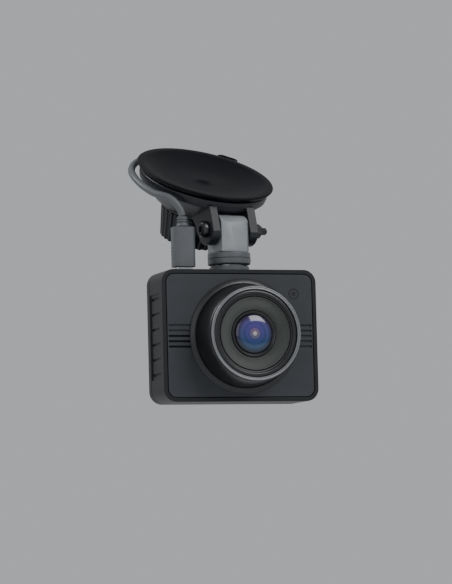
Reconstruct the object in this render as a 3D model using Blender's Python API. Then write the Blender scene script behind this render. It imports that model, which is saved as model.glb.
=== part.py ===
"""Dash camera on a twist-lock suction mount, with its power lead. Metres, +Z up, the lens faces -Y.

The origin is the middle of the suction cup's sealing plane. Two frames hang from it: the mount's, whose Z is
the windscreen's outward normal and whose Y points up the windscreen, and the camera's, on the tilt pivot.
"""

import math

import bmesh
import bpy
from mathutils import Euler, Matrix, Vector

# The mount, in its own frame.
GLASS_SLOPE = math.radians(28.6)
MOUNT_YAW = math.radians(11.5)
CUP_RADIUS = 0.0292
TAB_TURN = math.radians(-46)
PIVOT_IN_MOUNT = Vector((0.0, -0.02775, -0.0146))
PIVOT = Euler((GLASS_SLOPE, 0, MOUNT_YAW)).to_matrix() @ PIVOT_IN_MOUNT
EAR_RADIUS = 0.0066
EAR_THICK = 0.004
EAR_GAP = 0.0138
KNOB_TOP = -0.0172
KNOB_RADIUS = 0.0153
KNOB_RIBS = 20
BOLT_RADIUS = 0.0015
RUNNING_GAP = 0.0002

# The camera body, measured from the pivot.
WIDTH = 0.067
HEIGHT = 0.0543
DEPTH = 0.020
CORNER = 0.0053
TOP = -0.0175
FRONT = -0.0120
BACK = FRONT + DEPTH
SEAM = FRONT + 0.0165
MIDDLE = TOP - HEIGHT / 2
WALL = 0.0016
LENS_X = 0.0015
LENS_Z = MIDDLE - 0.0003
BARREL_LENGTH = 0.015
BARREL_ROOT = 0.0214
GROOVES = 5
GROOVE_PITCH = 0.00217
GROOVE_TALL = 0.0010
VENTS = 6
VENT_PITCH = 0.0062
VENT_LENGTH = 0.0105
SCREEN_X = -0.0035
SCREEN_WIDTH = 0.046
SCREEN_HEIGHT = 0.036
KEY_X = 0.0275
KEY_PITCH = 0.009
KEY_RADIUS = 0.0024
POWER_Y = FRONT + 0.0095
POWER_Z = MIDDLE + 0.010
CARD_Y = FRONT + 0.0114
CARD_Z = MIDDLE - 0.006
LIGHT_Z = MIDDLE - 0.0215

# The lead.
CORD = 0.003
PLUG_X = -0.0206
PLUG_Y = -0.0020
PLUG_TALL = 0.0169
NECK_TALL = 0.0042
COIL_X = 0.004
COIL_Z = MIDDLE + 0.0012
COIL_FACE = BACK + 0.0015
COIL_PITCH = CORD + 0.00005
COIL_LAYERS = 5
COIL_ROWS = 6
COIL_MIDDLE = 0.0170
GAP = 0.0003


def clear_scene():
    for obj in list(bpy.data.objects):
        bpy.data.objects.remove(obj, do_unlink=True)


def material(name, colour, roughness, metallic=0.0):
    made = bpy.data.materials.new(name)
    made.use_nodes = True
    shader = made.node_tree.nodes["Principled BSDF"]
    shader.inputs["Base Color"].default_value = (*colour, 1.0)
    shader.inputs["Roughness"].default_value = roughness
    shader.inputs["Metallic"].default_value = metallic
    return made


def empty(name, location, rotation=(0, 0, 0)):
    made = bpy.data.objects.new(name, None)
    made.location = location
    made.rotation_euler = rotation
    bpy.context.scene.collection.objects.link(made)
    return made


def finish(name, shape, parent, at, finish_of, turn=(0, 0, 0)):
    """One named object from a bmesh, shaded smooth but for its sharp edges."""
    bmesh.ops.recalc_face_normals(shape, faces=shape.faces)
    mesh = bpy.data.meshes.new(name)
    shape.to_mesh(mesh)
    shape.free()
    mesh.shade_smooth()
    mesh.set_sharp_from_angle(angle=math.radians(35))
    made = bpy.data.objects.new(name, mesh)
    made.parent = parent
    made.location = at
    made.rotation_euler = turn
    if finish_of is not None:
        mesh.materials.append(finish_of)
    bpy.context.scene.collection.objects.link(made)
    return made


def turned(profile, steps=32):
    """A solid of revolution about Z from a closed (radius, height) outline. Radius 0 is a pole."""
    shape = bmesh.new()
    rings = []
    for radius, height in profile:
        if radius == 0:
            rings.append([shape.verts.new((0, 0, height))] * steps)
            continue
        turns = [math.tau * k / steps for k in range(steps)]
        rings.append([shape.verts.new((radius * math.cos(t), radius * math.sin(t), height)) for t in turns])
    for ring, after in zip(rings, rings[1:] + rings[:1]):
        for k in range(steps):
            corners = [ring[k], ring[(k + 1) % steps], after[(k + 1) % steps], after[k]]
            different = list(dict.fromkeys(corners))
            if len(different) > 2:
                shape.faces.new(different)
    return shape


def tube_profile(inner, outer, low, high):
    return [(inner, low), (outer, low), (outer, high), (inner, high)]


def block(width, depth, height, bevel=0.0, segments=2):
    """A box centred on its origin, with rounded edges."""
    shape = bmesh.new()
    bmesh.ops.create_cube(shape, size=1.0)
    bmesh.ops.scale(shape, vec=(width, depth, height), verts=shape.verts)
    if bevel:
        bmesh.ops.bevel(shape, geom=shape.edges[:], offset=bevel, segments=segments, affect="EDGES", profile=0.5)
    return shape


def extruded(outline, low, high):
    """A closed (x, y) outline extruded along Z."""
    shape = bmesh.new()
    under = [shape.verts.new((x, y, low)) for x, y in outline]
    over = [shape.verts.new((x, y, high)) for x, y in outline]
    shape.faces.new(under)
    shape.faces.new(over)
    for k in range(len(outline)):
        after = (k + 1) % len(outline)
        shape.faces.new([under[k], under[after], over[after], over[k]])
    return shape


def rounded_outline(width, height, corner, steps=4):
    """A rectangle with round corners, centred on 0, anticlockwise."""
    points = []
    for quarter in range(4):
        start = quarter * math.pi / 2
        side_x = 1 if quarter in (0, 3) else -1
        side_y = 1 if quarter < 2 else -1
        for k in range(steps + 1):
            angle = start + math.pi / 2 * k / steps
            x = side_x * (width / 2 - corner) + corner * math.cos(angle)
            y = side_y * (height / 2 - corner) + corner * math.sin(angle)
            points.append((x, y))
    return points


def plate(width, height, corner, front, back, steps=4):
    """A rounded plate standing upright: its outline in X and Z, its thickness from front to back along Y."""
    shape = extruded(rounded_outline(width, height, corner, steps), 0, back - front)
    for vert in shape.verts:
        x, z, y = vert.co
        vert.co = (x, front + y, z)
    return shape


def facing_front(shape, at=(0, 0, 0)):
    """A turned solid laid down, so that its +Z points forward along -Y."""
    for vert in shape.verts:
        x, y, z = vert.co
        vert.co = (at[0] + x, at[1] - z, at[2] + y)
    return shape


def cut(target, shape, name="cutter"):
    """Takes a shape, given in the target's own coordinates, out of the target."""
    cutter = finish(f"{target.name}_{name}", shape, target, (0, 0, 0), None)
    cutter.hide_render = True
    cutter.display_type = "WIRE"
    modifier = target.modifiers.new(name, "BOOLEAN")
    modifier.operation = "DIFFERENCE"
    modifier.object = cutter


def add(target, shape, name="addition"):
    """Joins a shape, given in the target's own coordinates, to the target."""
    guide = finish(f"{target.name}_{name}", shape, target, (0, 0, 0), None)
    guide.hide_render = True
    guide.display_type = "WIRE"
    modifier = target.modifiers.new(name, "BOOLEAN")
    modifier.operation = "UNION"
    modifier.object = guide


def moved(shape, x=0.0, y=0.0, z=0.0):
    bmesh.ops.translate(shape, vec=(x, y, z), verts=shape.verts)
    return shape


def along_x(shape, at=(0, 0, 0)):
    """A turned solid laid down, so that its +Z points along +X."""
    for vert in shape.verts:
        x, y, z = vert.co
        vert.co = (at[0] + z, at[1] + x, at[2] + y)
    return shape


def make_cup(mount, rubber):
    """The dished rubber disc with its nub, its back pocket for the stem's head, and the pull tab."""
    profile = [
        (0, -0.0028), (0.0022, -0.0028), (0.0030, -0.0036), (0.0110, -0.0037), (0.0180, -0.0026),
        (0.0240, -0.0009), (CUP_RADIUS - 0.0034, 0), (CUP_RADIUS - 0.0002, 0), (CUP_RADIUS, -0.0004),
        (CUP_RADIUS - 0.0006, -0.0016), (0.0250, -0.0030), (0.0180, -0.0050), (0.0080, -0.0062),
        (0.0080, -0.0110), (0.0050, -0.0110), (0.0050, -0.0060), (0, -0.0060),
    ]
    cup = finish("suction_cup", turned(profile, 40), mount, (0, 0, 0), rubber)
    tab = moved(block(0.009, 0.0060, 0.0012, 0.0003, 1), 0.0, CUP_RADIUS + 0.0012, -0.0010)
    bmesh.ops.rotate(tab, cent=(0, 0, 0), matrix=Matrix.Rotation(TAB_TURN, 3, "Z"), verts=tab.verts)
    add(cup, tab, "tab")
    return cup


def ear_outline(steps=9):
    """A clevis ear in the mount's Y and Z: a round end about the pivot and a foot in the housing."""
    foot_high = (-0.0085, -0.0125)
    foot_low = (-0.0262, -0.0045)
    start = math.radians(-28)
    points = [foot_high]
    for k in range(steps + 1):
        angle = start - math.radians(168) * k / steps
        points.append((PIVOT_IN_MOUNT.y + EAR_RADIUS * math.cos(angle), PIVOT_IN_MOUNT.z + EAR_RADIUS * math.sin(angle)))
    points.append(foot_low)
    return points


def ear(side):
    """One ear, extruded along X."""
    near = side * EAR_GAP / 2
    far = side * (EAR_GAP / 2 + EAR_THICK)
    shape = extruded(ear_outline(), min(near, far), max(near, far))
    for vert in shape.verts:
        y, z, x = vert.co
        vert.co = (x, y, z)
    return shape


def make_housing(mount, plastic):
    """The shell behind the cup: a shallow skirt, a cone down to the knob, the stem's guide, and two ears."""
    profile = [
        (0.0090, -0.0068), (0.0186, -0.0056), (0.0250, -0.0036), (0.0268, -0.0024), (0.0276, -0.0032),
        (0.0272, -0.0058), (0.0256, -0.0078), (0.0190, -0.0138), (0.0162, -0.0152), (0.0158, -0.0168),
        (0.0034, -0.0168), (0.0034, -0.0145), (0.0090, -0.0145),
    ]
    housing = finish("mount_housing", turned(profile, 40), mount, (0, 0, 0), plastic)
    add(housing, ear(-1), "left_ear")
    add(housing, ear(1), "right_ear")
    bore = along_x(turned([(0, -0.013), (BOLT_RADIUS + GAP, -0.013), (BOLT_RADIUS + GAP, 0.013), (0, 0.013)], 16))
    cut(housing, moved(bore, 0, PIVOT_IN_MOUNT.y, PIVOT_IN_MOUNT.z), "bolt_bore")
    return housing


def ribbed_outline(radius, ribs, depth):
    """A circle of grip ribs: four points to each, two on the crest and two in the valley."""
    points = []
    for rib in range(ribs):
        for share, inset in ((0.08, 0), (0.50, 0), (0.62, depth), (0.96, depth)):
            angle = math.tau * (rib + share) / ribs
            points.append(((radius - inset) * math.cos(angle), (radius - inset) * math.sin(angle)))
    return points


def make_knob(mount, plastic):
    """The twist knob: a ribbed cup whose wall narrows towards its flat end, open towards the housing."""
    low = KNOB_TOP - 0.0128
    shape = extruded(ribbed_outline(KNOB_RADIUS, KNOB_RIBS, 0.0006), low, KNOB_TOP)
    for vert in shape.verts:
        share = (KNOB_TOP - vert.co.z) / (KNOB_TOP - low)
        vert.co.x *= 1 - 0.15 * share
        vert.co.y *= 1 - 0.15 * share
    knob = finish("twist_knob", shape, mount, (0, 0, 0), plastic)
    well = turned([(0, KNOB_TOP + 0.001), (0, low + 0.002), (0.0098, low + 0.002), (0.0118, KNOB_TOP + 0.001)], 40)
    cut(knob, well, "well")
    dish = turned([(0, low - 0.001), (0.0085, low - 0.001), (0.0085, low + 0.0008), (0, low + 0.0008)], 40)
    cut(knob, dish, "dish")
    cap = turned([(0, low + 0.0002), (0.0081, low + 0.0002), (0.0081, low + 0.0005), (0, low + 0.0005)], 40)
    finish("knob_cap", cap, mount, (0, 0, 0), plastic)
    return knob


def make_stem(mount, steel):
    """The plunger stem under the cup's hub, and the spring round it."""
    profile = [
        (0, -0.0098), (0.0046, -0.0098), (0.0046, -0.0112), (0.0028, -0.0118), (0.0028, -0.0240),
        (0.0036, -0.0244), (0.0036, -0.0262), (0, -0.0262),
    ]
    finish("plunger_stem", turned(profile, 16), mount, (0, 0, 0), steel)
    coils = 3
    turns = 10
    line = []
    for k in range(coils * turns + 1):
        angle = math.tau * k / turns
        line.append((0.0066 * math.cos(angle), 0.0066 * math.sin(angle), -0.0184 - 0.0060 * k / (coils * turns)))
    wire("plunger_spring", line, 0.0007, mount, steel, 1)


def wire(name, points, diameter, parent, finish_of, resolution=2):
    """A round wire or cord along its points, closed at both ends."""
    curve = bpy.data.curves.new(name, "CURVE")
    curve.dimensions = "3D"
    curve.bevel_depth = diameter / 2
    curve.bevel_resolution = resolution
    curve.use_fill_caps = True
    spline = curve.splines.new("POLY")
    spline.points.add(len(points) - 1)
    for point, place in zip(spline.points, points):
        point.co = (*place, 1)
    curve.materials.append(finish_of)
    made = bpy.data.objects.new(name, curve)
    made.parent = parent
    bpy.context.scene.collection.objects.link(made)
    return made


def make_tilt_bolt(mount, steel, plastic):
    """The bolt through the ears, its washer and its nut, all along the pivot."""
    left = -EAR_GAP / 2 - EAR_THICK
    right = -left
    head = [
        (0, left - 0.0026), (0.0026, left - 0.0026), (0.0034, left - 0.0020), (0.0034, left - GAP),
        (BOLT_RADIUS, left - GAP), (BOLT_RADIUS, right + 0.0072), (0, right + 0.0072),
    ]
    pivot = (0, PIVOT_IN_MOUNT.y, PIVOT_IN_MOUNT.z)
    finish("tilt_bolt", along_x(turned(head, 16)), mount, pivot, steel)
    hole = BOLT_RADIUS + GAP
    washer = tube_profile(hole, 0.0040, right + GAP, right + 0.0011)
    finish("tilt_washer", along_x(turned(washer, 16)), mount, pivot, steel)
    nut = tube_profile(hole, 0.0031, right + 0.0014, right + 0.0040)
    finish("tilt_nut", along_x(turned(nut, 6)), mount, pivot, steel)


def make_knuckle(swing, light, grey, steel):
    """The block between the ears, the disc it turns on, the friction washer and the swivel screw."""
    wide = EAR_GAP - 0.0010
    foot = TOP + 0.0082
    outline = [(-0.0064, foot), (0.0062, foot), (0.0062, -0.0005)]
    for k in range(1, 12):
        angle = math.pi * k / 12
        outline.append((0.0062 * math.cos(angle), 0.0062 * math.sin(angle)))
    outline.append((-0.0062, -0.0005))
    shape = extruded(outline, -wide / 2, wide / 2)
    for vert in shape.verts:
        y, z, x = vert.co
        vert.co = (x, y, z)
    knuckle = finish("knuckle_block", shape, swing, (0, 0, 0), light)
    for side in (-1, 1):
        groove = block(0.0046, 0.0030, 0.020)
        bmesh.ops.rotate(groove, cent=(0, 0, 0), matrix=Matrix.Rotation(side * 0.24, 3, "Z"), verts=groove.verts)
        cut(knuckle, moved(groove, side * 0.0033, -0.0073, -0.004), f"face_{side + 1}")
    hole = BOLT_RADIUS + GAP
    bore = turned([(0, -0.010), (hole, -0.010), (hole, 0.010), (0, 0.010)], 16)
    cut(knuckle, along_x(bore), "bolt_bore")
    shank = turned([(0, foot - 0.001), (0.0023, foot - 0.001), (0.0023, foot + 0.0040), (0, foot + 0.0040)], 16)
    cut(knuckle, shank, "screw_hole")

    high = foot - GAP
    low = TOP + 0.0029
    disc = [(0.0024, high), (0.0024, low), (0.0083, low), (0.0089, low + 0.0006), (0.0089, high - 0.0008), (0.0081, high)]
    finish("swivel_disc", turned(disc, 32), swing, (0, 0, 0), grey)
    ring = tube_profile(0.0024, 0.0060, TOP + 0.0024, low - GAP)
    finish("friction_washer", turned(ring, 24), swing, (0, 0, 0), steel)
    screw = [
        (0, foot + 0.0036), (0.0020, foot + 0.0036), (0.0020, TOP - 0.0020), (0.0042, TOP - 0.0022),
        (0.0042, TOP - 0.0038), (0, TOP - 0.0038),
    ]
    finish("swivel_screw", turned(screw, 16), swing, (0, 0, 0), steel)


def bevel_face(shape, at, width, segments=2):
    """Rounds the rim of the plate's face that lies at one Y."""
    rim = [e for e in shape.edges if all(abs(v.co.y - at) < 1e-6 for v in e.verts)]
    bmesh.ops.bevel(shape, geom=rim, offset=width, segments=segments, affect="EDGES", profile=0.5)
    return shape


def placed(shape, x, z):
    return moved(shape, x, 0, z)


def rod_y(radius, front, back, x, z, steps=16):
    """A plain round bar along Y."""
    shape = turned([(0, -back), (radius, -back), (radius, -front), (0, -front)], steps)
    return facing_front(shape, (x, 0, z))


def corner_places():
    inset = 0.0047
    for side in (-1, 1):
        for level in (-1, 1):
            yield side * (WIDTH / 2 - inset), MIDDLE + level * (HEIGHT / 2 - inset)


def make_front_shell(camera, plastic):
    """The deep front half of the case: panel recess, lens hole, side vents, screw bosses and sockets' openings."""
    shape = bevel_face(plate(WIDTH, HEIGHT, CORNER, FRONT, SEAM), FRONT, 0.0010)
    shell = finish("front_shell", placed(shape, 0, MIDDLE), camera, (0, 0, 0), plastic)
    inside = plate(WIDTH - 2 * WALL, HEIGHT - 2 * WALL, CORNER - WALL, FRONT + 0.0030, SEAM + 0.001)
    cut(shell, placed(inside, 0, MIDDLE), "hollow")
    recess = plate(WIDTH - 0.0034, HEIGHT - 0.0034, CORNER - 0.0017, FRONT - 0.001, FRONT + 0.0013)
    cut(shell, placed(recess, 0, MIDDLE), "recess")
    cut(shell, rod_y(0.0096, FRONT, FRONT + 0.004, LENS_X, LENS_Z, 40), "lens_hole")
    for k, (x, z) in enumerate(corner_places()):
        add(shell, rod_y(0.0026, FRONT + 0.0025, SEAM - 0.0005, x, z, 12), f"boss_{k}")
        cut(shell, rod_y(0.0013, FRONT + 0.0050, SEAM + 0.001, x, z, 8), f"boss_hole_{k}")
    for k in range(VENTS):
        z = MIDDLE + VENT_PITCH * ((VENTS - 1) / 2 - k)
        slot = block(0.006, VENT_LENGTH, 0.0012)
        cut(shell, moved(slot, -WIDTH / 2, FRONT + 0.0100, z), f"vent_{k}")
    socket = block(0.0074, 0.0036, 0.006)
    cut(shell, moved(socket, PLUG_X, PLUG_Y, TOP), "plug_opening")
    screw = turned([(0, -0.006), (0.0024, -0.006), (0.0024, 0.002), (0, 0.002)], 16)
    cut(shell, moved(screw, 0, 0, TOP), "screw_opening")
    button = turned([(0, -0.004), (0.0022, -0.004), (0.0022, 0.002), (0, 0.002)], 16)
    cut(shell, along_x(button, (WIDTH / 2, POWER_Y, POWER_Z)), "power_opening")
    card = block(0.006, 0.0017, 0.0118)
    cut(shell, moved(card, WIDTH / 2, CARD_Y, CARD_Z), "card_opening")
    return shell


def make_front_panel(camera, plastic):
    """The inset face plate: five level grooves on each side, the lower three on one side cut right through."""
    shape = plate(WIDTH - 0.0040, HEIGHT - 0.0040, CORNER - 0.0020, FRONT, FRONT + 0.0010)
    panel = finish("front_panel", placed(shape, 0, MIDDLE), camera, (0, 0, 0), plastic)
    cut(panel, rod_y(BARREL_ROOT + GAP, FRONT - 0.001, FRONT + 0.002, LENS_X, LENS_Z, 40), "barrel_hole")
    for k in range(GROOVES):
        z = LENS_Z + GROOVE_PITCH * ((GROOVES - 1) / 2 - k)
        through = k >= GROOVES - 3
        depth = 0.004 if through else 0.0012
        left = block(0.0062 if through else 0.0080, depth, GROOVE_TALL)
        cut(panel, moved(left, -0.0253 if through else -0.0270, FRONT, z), f"left_groove_{k}")
        right = block(0.0066, 0.0012, GROOVE_TALL)
        cut(panel, moved(right, 0.0280, FRONT, z), f"right_groove_{k}")
    return panel


def make_rear_shell(camera, plastic):
    """The shallow rear half: display opening, four key holes, a light hole and four sunk screw holes."""
    shape = bevel_face(plate(WIDTH, HEIGHT, CORNER, SEAM + GAP, BACK), BACK, 0.0012)
    shell = finish("rear_shell", placed(shape, 0, MIDDLE), camera, (0, 0, 0), plastic)
    inside = plate(WIDTH - 2 * WALL, HEIGHT - 2 * WALL, CORNER - WALL, SEAM - 0.001, BACK - 0.0018)
    cut(shell, placed(inside, 0, MIDDLE), "hollow")
    window = plate(SCREEN_WIDTH - 0.002, SCREEN_HEIGHT - 0.002, 0.001, BACK - 0.004, BACK + 0.001, 2)
    cut(shell, placed(window, SCREEN_X, MIDDLE), "display_opening")
    seat = plate(SCREEN_WIDTH + 0.0026, SCREEN_HEIGHT + 0.0026, 0.002, BACK - 0.0011, BACK + 0.001, 4)
    cut(shell, placed(seat, SCREEN_X, MIDDLE), "window_seat")
    for k, z in enumerate(key_heights()):
        cut(shell, rod_y(KEY_RADIUS + GAP, BACK - 0.004, BACK + 0.001, KEY_X, z), f"key_hole_{k}")
    cut(shell, rod_y(0.0010, BACK - 0.004, BACK + 0.001, SCREEN_X, LIGHT_Z, 16), "light_hole")
    for k, (x, z) in enumerate(corner_places()):
        cut(shell, rod_y(0.0013, BACK - 0.004, BACK + 0.001, x, z, 8), f"screw_hole_{k}")
        cut(shell, rod_y(0.0020, BACK - 0.0012, BACK + 0.001, x, z, 12), f"screw_seat_{k}")
    return shell


def key_heights():
    return [MIDDLE + KEY_PITCH * (1.5 - k) for k in range(4)]


def make_lens(camera, black, silver, dark, glass, grey):
    """Everything turned about the lens axis, from the flare ring on the face to the holder inside."""
    front = (LENS_X, FRONT, LENS_Z)

    def part(name, profile, finish_of, steps=40):
        finish(name, facing_front(turned(profile, steps), front), camera, (0, 0, 0), finish_of)

    root = BARREL_ROOT
    rim = BARREL_LENGTH
    part("lens_flare_ring", [(root + GAP, GAP), (0.0236, GAP), (0.0234, 0.0008), (0.0224, 0.0013), (root + GAP, 0.0015)], black)
    part("lens_barrel", [
        (0.0170, -0.0010), (root, -0.0010), (root, 0.0012), (0.0211, 0.0022), (0.0195, rim - 0.0016),
        (0.0193, rim - 0.0013), (0.0170, rim - 0.0013),
    ], black)
    part("trim_ring", [
        (0.0179, rim - 0.0010), (0.0192, rim - 0.0010), (0.0192, rim - 0.0004), (0.0189, rim),
        (0.0182, rim), (0.0178, rim - 0.0003),
    ], silver)
    part("retaining_ring", [
        (0.0152, rim - 0.0042), (0.0167, rim - 0.0042), (0.0167, rim - 0.0006), (0.0160, rim - 0.0006),
        (0.0158, rim - 0.0012), (0.0152, rim - 0.0013),
    ], black)
    part("baffle_cone", [
        (0.0096, rim - 0.0042), (0.0149, rim - 0.0042), (0.0149, rim - 0.0012), (0.0144, rim - 0.0012),
        (0.0096, rim - 0.0030),
    ], dark)
    part("lens_bezel", [
        (0.0083, rim - 0.0052), (0.0093, rim - 0.0052), (0.0093, rim - 0.0029), (0.0090, rim - 0.0025),
        (0.0083, rim - 0.0026),
    ], black, 28)
    dome = [(0.0080 * math.cos(t), rim - 0.0030 + 0.0012 * math.sin(t)) for t in (math.pi * k / 10 for k in range(5))]
    part("front_lens", [
        (0, rim - 0.0034), (0.0045, rim - 0.0038), (0.0070, rim - 0.0044), (0.0080, rim - 0.0044),
        *dome, (0, rim - 0.0018),
    ], glass, 28)
    part("inner_lens", [
        (0, 0.0068), (0.0048, 0.0068), (0.0048, 0.0078), (0.0034, 0.0087), (0.0016, 0.0091), (0, 0.0092),
    ], glass, 20)
    part("lens_holder", [
        (0.0040, -0.0072), (0.0090, -0.0072), (0.0090, 0.0092), (0.0052, 0.0092), (0.0052, 0.0064), (0.0040, 0.0060),
    ], grey, 20)


def make_insides(camera, board, chip, foil, steel, glass):
    """What the case holds behind the lens."""
    def box_part(name, width, depth, height, x, front, z, finish_of, bevel=0.0002):
        shape = moved(block(width, depth, height, bevel, 1), x, front + depth / 2, z)
        return finish(name, shape, camera, (0, 0, 0), finish_of)

    box_part("image_sensor", 0.0074, 0.0012, 0.0066, LENS_X, FRONT + 0.0076, LENS_Z, chip)
    box_part("sensor_board", 0.0180, 0.0010, 0.0180, LENS_X, FRONT + 0.0091, LENS_Z, board)
    box_part("main_board", 0.0540, 0.0011, 0.0400, -0.0010, FRONT + 0.0128, MIDDLE, board)
    box_part("battery", 0.0165, 0.0055, 0.0340, 0.0207, FRONT + 0.0036, MIDDLE - 0.002, foil, 0.0008)
    box_part("display_module", SCREEN_WIDTH, 0.0024, SCREEN_HEIGHT, SCREEN_X, FRONT + 0.0146, MIDDLE, steel)
    speaker = turned([(0, -0.0078), (0.0070, -0.0078), (0.0075, -0.0070), (0.0075, -0.0044), (0.0060, -0.0036), (0, -0.0040)], 20)
    finish("speaker", facing_front(speaker, (-0.0200, FRONT, MIDDLE - 0.0140)), camera, (0, 0, 0), steel)
    finish("microphone", rod_y(0.0020, FRONT + 0.0036, FRONT + 0.0054, -0.0220, MIDDLE + 0.0090), camera, (0, 0, 0), steel)
    window = plate(SCREEN_WIDTH + 0.002, SCREEN_HEIGHT + 0.002, 0.0017, BACK - 0.0008, BACK, 4)
    finish("display_window", placed(window, SCREEN_X, MIDDLE), camera, (0, 0, 0), glass)
    finish("status_light", rod_y(0.0007, BACK - 0.0040, BACK, SCREEN_X, LIGHT_Z, 12), camera, (0, 0, 0), glass)
    socket = box_part("usb_socket", 0.0090, 0.0046, 0.0085, PLUG_X, PLUG_Y - 0.0023, TOP - 0.0062, steel)
    cut(socket, moved(block(0.0074, 0.0036, 0.0082), PLUG_X, PLUG_Y, TOP - 0.0050), "cavity")
    holder = box_part("card_socket", 0.0130, 0.0020, 0.0140, WIDTH / 2 - 0.0085, CARD_Y - 0.0010, CARD_Z, steel)
    cut(holder, moved(block(0.0150, 0.0014, 0.0117), WIDTH / 2 - 0.0065, CARD_Y, CARD_Z), "cavity")
    for k, (x, z) in enumerate(corner_places()):
        screw = turned([(0, -0.0075), (0.0009, -0.0075), (0.0009, -0.0009), (0.0017, -0.0009), (0.0017, -0.0001), (0, -0.0001)], 10)
        finish(f"case_screw_{k + 1}", facing_front(flipped(screw), (0, 0, 0)), camera, (x, BACK, z), steel)


def flipped(shape):
    """Turns a shape end for end, so that what was up points down."""
    bmesh.ops.rotate(shape, cent=(0, 0, 0), matrix=Matrix.Rotation(math.pi, 3, "X"), verts=shape.verts)
    return shape


def make_keys(camera, rubber):
    """Four round keys on the back, a power button and the memory card at the side."""
    profile = [(0, -0.0036), (0.0030, -0.0036), (0.0030, -0.0027), (KEY_RADIUS, -0.0027), (KEY_RADIUS, 0.0004), (0.0018, 0.0008), (0, 0.0008)]
    for k, z in enumerate(key_heights()):
        shape = facing_front(flipped(turned(profile, 16)), (0, 0, 0))
        finish(f"key_{k + 1}", shape, camera, (KEY_X, BACK, z), rubber)
    button = [(0, -0.0034), (0.0028, -0.0034), (0.0028, -0.0025), (0.0019, -0.0025), (0.0019, 0.0005), (0.0014, 0.0008), (0, 0.0008)]
    finish("power_button", along_x(turned(button, 16)), camera, (WIDTH / 2, POWER_Y, POWER_Z), rubber)
    card = moved(block(0.0150, 0.0008, 0.0110, 0.0002, 1), -0.0065)
    finish("memory_card", card, camera, (WIDTH / 2, CARD_Y, CARD_Z), rubber)


def make_plug(camera, steel, grey):
    """The plug standing in the camera's top: bright shell, rounded housing and tapered neck."""
    shell = moved(block(0.0068, 0.0030, 0.0072, 0.0003, 1), 0, 0, -0.0026)
    finish("plug_shell", shell, camera, (PLUG_X, PLUG_Y, TOP), steel)
    base = 0.0013
    body = block(0.0094, 0.0067, PLUG_TALL, 0.0016, 3)
    finish("plug_housing", moved(body, 0, 0, base + PLUG_TALL / 2), camera, (PLUG_X, PLUG_Y, TOP), grey)
    low = base + PLUG_TALL + GAP
    neck = [(0, low), (0.0027, low), (0.0024, low + 0.0010), (0.0021, low + NECK_TALL), (0, low + NECK_TALL)]
    finish("strain_relief", turned(neck, 16), camera, (PLUG_X, PLUG_Y, TOP), grey)


def smooth_line(knots, spacing):
    """Points about spacing apart on the smooth curve through the knots."""
    knots = [Vector(k) for k in knots]
    ends = [knots[0] * 2 - knots[1], *knots, knots[-1] * 2 - knots[-2]]
    points = []
    for before, start, end, after in zip(ends, ends[1:], ends[2:], ends[3:]):
        steps = max(1, round((end - start).length / spacing))
        for k in range(steps):
            t = k / steps
            points.append(0.5 * (
                2 * start + (end - before) * t + (2 * before - 5 * start + 4 * end - after) * t ** 2
                + (3 * start - before - 3 * end + after) * t ** 3
            ))
    return [*points, knots[-1]]


# The lead's free stretch, from the neck over the mount's flank and down behind the camera to the coil.
CORD_ROUTE = [
    (PLUG_X, PLUG_Y, 0.0056), (-0.0214, -0.0020, 0.0082), (-0.0227, -0.0017, 0.0103), (-0.0241, -0.0009, 0.0121),
    (-0.0259, 0.0002, 0.0135), (-0.0280, 0.0022, 0.0145), (-0.0303, 0.0052, 0.0157), (-0.0320, 0.0076, 0.0174),
    (-0.0334, 0.0106, 0.0194), (-0.0344, 0.0142, 0.0218), (-0.0347, 0.0188, 0.0246), (-0.0338, 0.0242, 0.0274),
    (-0.0308, 0.0304, 0.0308), (-0.0260, 0.0364, 0.0336), (-0.0198, 0.0420, 0.0356), (-0.0126, 0.0462, 0.0362),
    (-0.0052, 0.0488, 0.0338), (0.0016, 0.0496, 0.0284), (0.0062, 0.0486, 0.0212), (0.0088, 0.0462, 0.0130),
    (0.0100, 0.0426, 0.0040), (0.0104, 0.0374, -0.0050), (0.0104, 0.0306, -0.0124), (0.0112, 0.0222, -0.0162),
    (0.0136, 0.0144, -0.0172),
]


def tail_route():
    """From the coil's back face round to the far plug, which lies across it."""
    back = COIL_FACE + COIL_ROWS * COIL_PITCH
    steps = [(-0.0120, 0.0019, -0.0152), (-0.0175, 0.0035, -0.0150), (-0.0218, 0.0039, -0.0116),
             (-0.0226, 0.0039, -0.0073), (-0.0208, 0.0039, -0.0038), (-0.0174, 0.0039, -0.0030)]
    return [(COIL_X + x, back + y, COIL_Z + z) for x, y, z in steps]


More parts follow.
